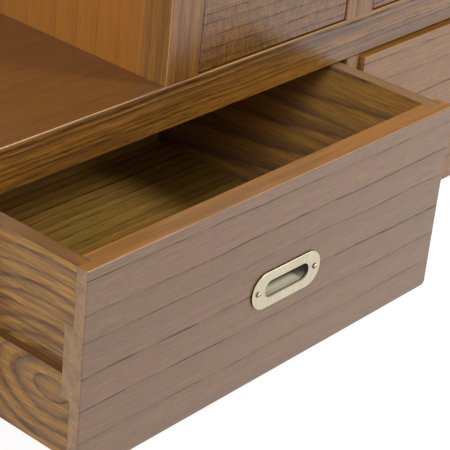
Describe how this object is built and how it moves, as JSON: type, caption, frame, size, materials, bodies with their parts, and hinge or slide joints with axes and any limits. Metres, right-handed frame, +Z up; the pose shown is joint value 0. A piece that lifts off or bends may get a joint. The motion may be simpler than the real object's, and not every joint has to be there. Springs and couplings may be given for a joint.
{
  "type": "step chest",
  "caption": "Floor-standing step chest of stained hardwood: decks rise like stairs to the right over drawers that slide on wooden side runners and open by brass flush pulls.",
  "frame": {"origin": "on the floor under the middle of the carcass, on the underside of the centre skid", "axes": "+X along the width towards the high end, +Y from front to back, +Z up"},
  "size_m": [1.025, 0.5262, 0.9622],
  "materials": {
    "stained_hardwood": "walnut-brown stain under satin lacquer",
    "drawer_box_wood": "light stain under satin lacquer",
    "unfinished_hardwood": "planed",
    "brass": "pale brushed"
  },
  "bodies": {
    "carcass": {"skids": "unfinished_hardwood", "base_board": "stained_hardwood", "deck_1": "stained_hardwood", "deck_2": "stained_hardwood", "deck_3": "stained_hardwood", "deck_4": "stained_hardwood", "deck_strip_1": "stained_hardwood", "deck_strip_2": "stained_hardwood", "deck_strip_3": "stained_hardwood", "deck_strip_4": "stained_hardwood", "base_stiles": "stained_hardwood", "step_stiles": "stained_hardwood", "right_stiles": "stained_hardwood", "middle_stile": "stained_hardwood", "left_wall_1": "stained_hardwood", "left_wall_2": "stained_hardwood", "left_wall_3": "stained_hardwood", "left_wall_4": "stained_hardwood", "right_side": "stained_hardwood", "base_partition": "stained_hardwood", "middle_partition": "stained_hardwood", "back_panel": "stained_hardwood", "runners": "unfinished_hardwood"},
    "base_left_drawer": {"base_left_drawer_front": "stained_hardwood", "base_left_drawer_left_side": "drawer_box_wood", "base_left_drawer_right_side": "drawer_box_wood", "base_left_drawer_back": "drawer_box_wood", "base_left_drawer_bottom": "drawer_box_wood", "base_left_drawer_pull": "brass"},
    "base_right_drawer": {"base_right_drawer_front": "stained_hardwood", "base_right_drawer_left_side": "drawer_box_wood", "base_right_drawer_right_side": "drawer_box_wood", "base_right_drawer_back": "drawer_box_wood", "base_right_drawer_bottom": "drawer_box_wood", "base_right_drawer_pull": "brass"},
    "second_narrow_drawer": {"second_narrow_drawer_front": "stained_hardwood", "second_narrow_drawer_left_side": "drawer_box_wood", "second_narrow_drawer_right_side": "drawer_box_wood", "second_narrow_drawer_back": "drawer_box_wood", "second_narrow_drawer_bottom": "drawer_box_wood", "second_narrow_drawer_pull": "brass"},
    "second_wide_drawer": {"second_wide_drawer_front": "stained_hardwood", "second_wide_drawer_left_side": "drawer_box_wood", "second_wide_drawer_right_side": "drawer_box_wood", "second_wide_drawer_back": "drawer_box_wood", "second_wide_drawer_bottom": "drawer_box_wood", "second_wide_drawer_pull": "brass"},
    "third_drawer": {"third_drawer_front": "stained_hardwood", "third_drawer_left_side": "drawer_box_wood", "third_drawer_right_side": "drawer_box_wood", "third_drawer_back": "drawer_box_wood", "third_drawer_bottom": "drawer_box_wood", "third_drawer_pull": "brass"},
    "top_drawer": {"top_drawer_front": "stained_hardwood", "top_drawer_left_side": "drawer_box_wood", "top_drawer_right_side": "drawer_box_wood", "top_drawer_back": "drawer_box_wood", "top_drawer_bottom": "drawer_box_wood", "top_drawer_pull": "brass"}
  },
  "joints": [
    {"name": "base_left_drawer_slide", "type": "slide", "parent": "carcass", "child": "base_left_drawer", "axis": [0, -1, 0], "range_m": [-0.123, 0.117]},
    {"name": "base_right_drawer_slide", "type": "slide", "parent": "carcass", "child": "base_right_drawer", "axis": [0, -1, 0], "range_m": [-0.005, 0.235]},
    {"name": "second_narrow_drawer_slide", "type": "slide", "parent": "carcass", "child": "second_narrow_drawer", "axis": [0, -1, 0], "range_m": [0, 0.24]},
    {"name": "second_wide_drawer_slide", "type": "slide", "parent": "carcass", "child": "second_wide_drawer", "axis": [0, -1, 0], "range_m": [0, 0.24]},
    {"name": "third_drawer_slide", "type": "slide", "parent": "carcass", "child": "third_drawer", "axis": [0, -1, 0], "range_m": [0, 0.24]},
    {"name": "top_drawer_slide", "type": "slide", "parent": "carcass", "child": "top_drawer", "axis": [0, -1, 0], "range_m": [0, 0.24]}
  ]
}
